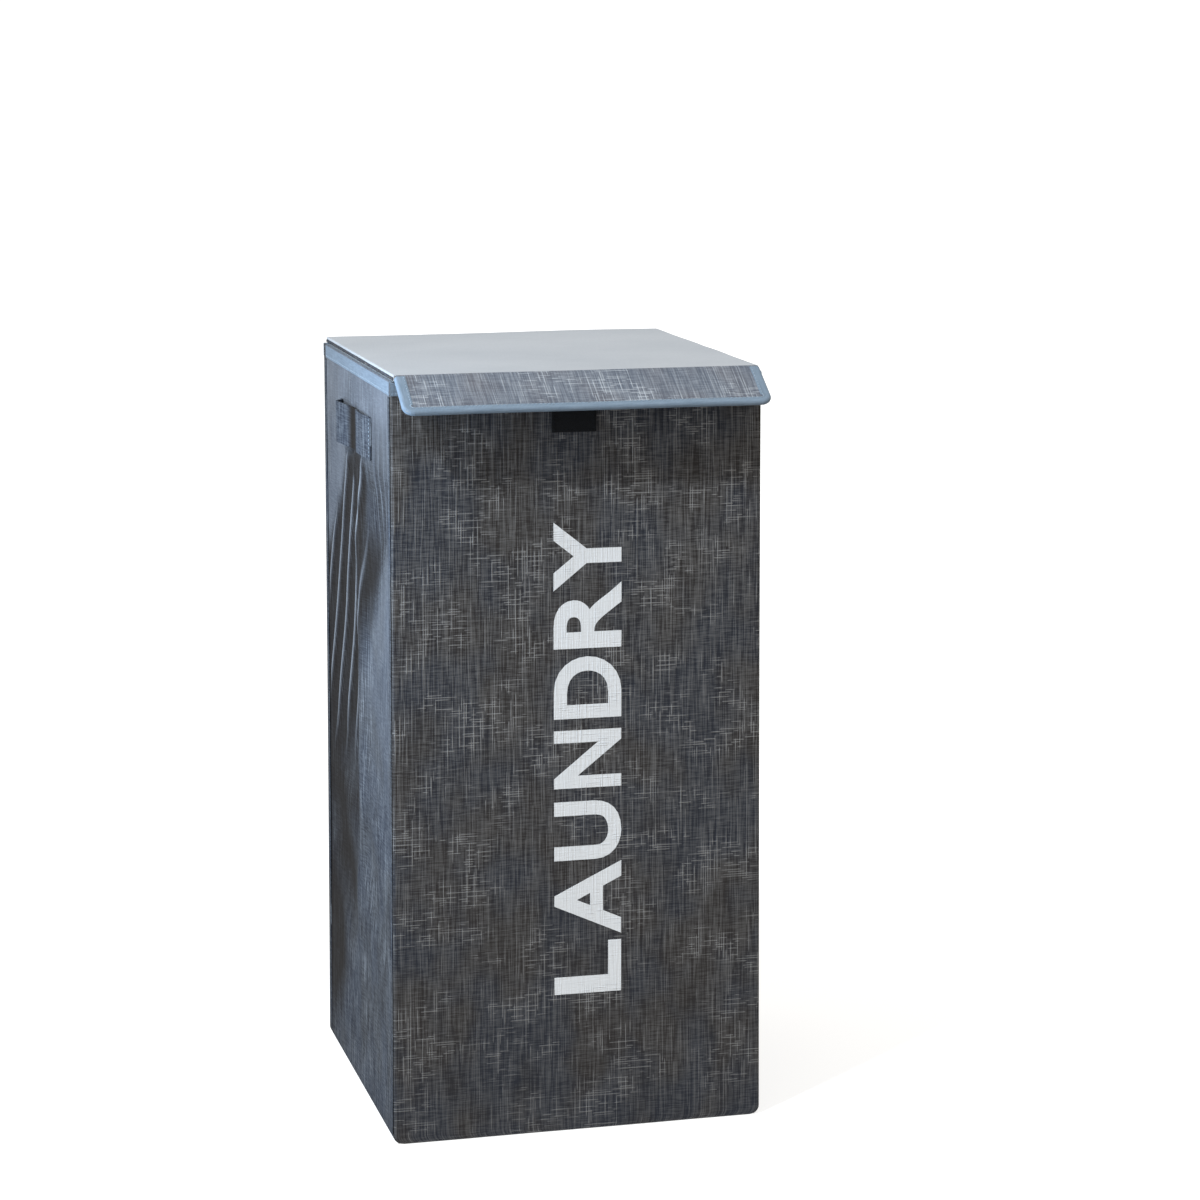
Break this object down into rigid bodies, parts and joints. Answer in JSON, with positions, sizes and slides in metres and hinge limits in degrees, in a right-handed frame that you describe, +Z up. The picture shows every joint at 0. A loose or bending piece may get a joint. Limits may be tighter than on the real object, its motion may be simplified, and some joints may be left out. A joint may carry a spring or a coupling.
{
  "type": "laundry hamper with lid",
  "caption": "Tall foldable fabric laundry hamper with creased side gussets, rim tape, carrying straps, a lift-up base board and a hinged lid with a front flap.",
  "frame": {"origin": "middle of the standing footprint, on the floor", "axes": "+Z up; the front panel faces -Y; +X is the right side seen from the front"},
  "size_m": [0.3332, 0.3649, 0.655],
  "materials": {
    "linen": "charcoal linen-look polyester weave with pale slubs",
    "pale_cloth": "plain pale blue-grey cloth",
    "tape": "light blue woven binding tape",
    "lining": "pale non-woven lining",
    "board": "grey board",
    "hook_and_loop": "black hook-and-loop tape"
  },
  "bodies": {
    "back": {"back_cloth": "linen", "back_board": "board", "back_lining": "lining", "back_rim_tape": "tape", "left_corner_strip": "linen", "right_corner_strip": "linen", "lid_hinge_cloth": "linen", "bottom_cloth": "linen"},
    "left_rear": {"left_rear_cloth": "linen", "left_rear_board": "board", "left_rear_lining": "lining", "left_rear_rim_tape": "tape"},
    "left_front": {"left_front_cloth": "linen", "left_front_board": "board", "left_front_lining": "lining", "left_front_rim_tape": "tape", "left_carry_strap": "linen"},
    "right_rear": {"right_rear_cloth": "linen", "right_rear_board": "board", "right_rear_lining": "lining", "right_rear_rim_tape": "tape"},
    "right_front": {"right_front_cloth": "linen", "right_front_board": "board", "right_front_lining": "lining", "right_front_rim_tape": "tape", "right_carry_strap": "linen"},
    "front": {"front_cloth": "linen", "front_board": "board", "front_lining": "lining", "front_rim_tape": "tape", "loop_patch": "hook_and_loop"},
    "base": {"base_board": "board", "base_cover": "lining", "base_pull_tab": "tape"},
    "lid": {"lid_cloth": "pale_cloth", "lid_board": "board", "lid_lining": "lining"},
    "flap": {"flap_cloth": "linen", "flap_board": "board", "flap_lining": "lining", "flap_binding": "tape", "hook_patch": "hook_and_loop"}
  },
  "joints": [
    {"name": "side_fold", "type": "hinge", "parent": "back", "child": "left_rear", "pos_m": [-0.154, 0.148, 0], "axis": [0, 0, 1], "range_deg": [0, 86], "deforming": ["left_rear_cloth", "left_rear_lining", "left_front_cloth", "left_front_lining", "right_rear_cloth", "right_rear_lining", "right_front_cloth", "right_front_lining", "left_carry_strap", "right_carry_strap", "bottom_cloth"]},
    {"name": "left_crease", "type": "hinge", "parent": "left_rear", "child": "left_front", "pos_m": [-0.1583, -0.00385, 0], "axis": [0, 0, 1], "range_deg": [-172, 0]},
    {"name": "front_corner", "type": "hinge", "parent": "left_front", "child": "front", "pos_m": [-0.154, -0.1557, 0], "axis": [0, 0, 1], "range_deg": [0, 86]},
    {"name": "right_fold", "type": "hinge", "parent": "back", "child": "right_rear", "pos_m": [0.154, 0.148, 0], "axis": [0, 0, 1], "range_deg": [-86, 0]},
    {"name": "right_crease", "type": "hinge", "parent": "right_rear", "child": "right_front", "pos_m": [0.1583, -0.00385, 0], "axis": [0, 0, 1], "range_deg": [0, 172]},
    {"name": "base_lift", "type": "hinge", "parent": "back", "child": "base", "pos_m": [0, 0.1545, 0.007], "axis": [-1, 0, 0], "range_deg": [0, 90]},
    {"name": "lid_hinge", "type": "hinge", "parent": "back", "child": "lid", "pos_m": [0, 0.1614, 0.6553], "axis": [-1, 0, 0], "range_deg": [0, 265], "deforming": ["lid_hinge_cloth"]},
    {"name": "flap_fold", "type": "hinge", "parent": "lid", "child": "flap", "pos_m": [0, -0.1603, 0.6507], "axis": [1, 0, 0], "range_deg": [-31, 47]}
  ],
  "couplings": [
    {"joint": "left_crease", "follows": "side_fold", "ratio": -2},
    {"joint": "front_corner", "follows": "side_fold", "ratio": 1},
    {"joint": "right_fold", "follows": "side_fold", "ratio": -1},
    {"joint": "right_crease", "follows": "side_fold", "ratio": 2},
    {"joint": "base_lift", "follows": "side_fold", "ratio": 1.0465}
  ]
}
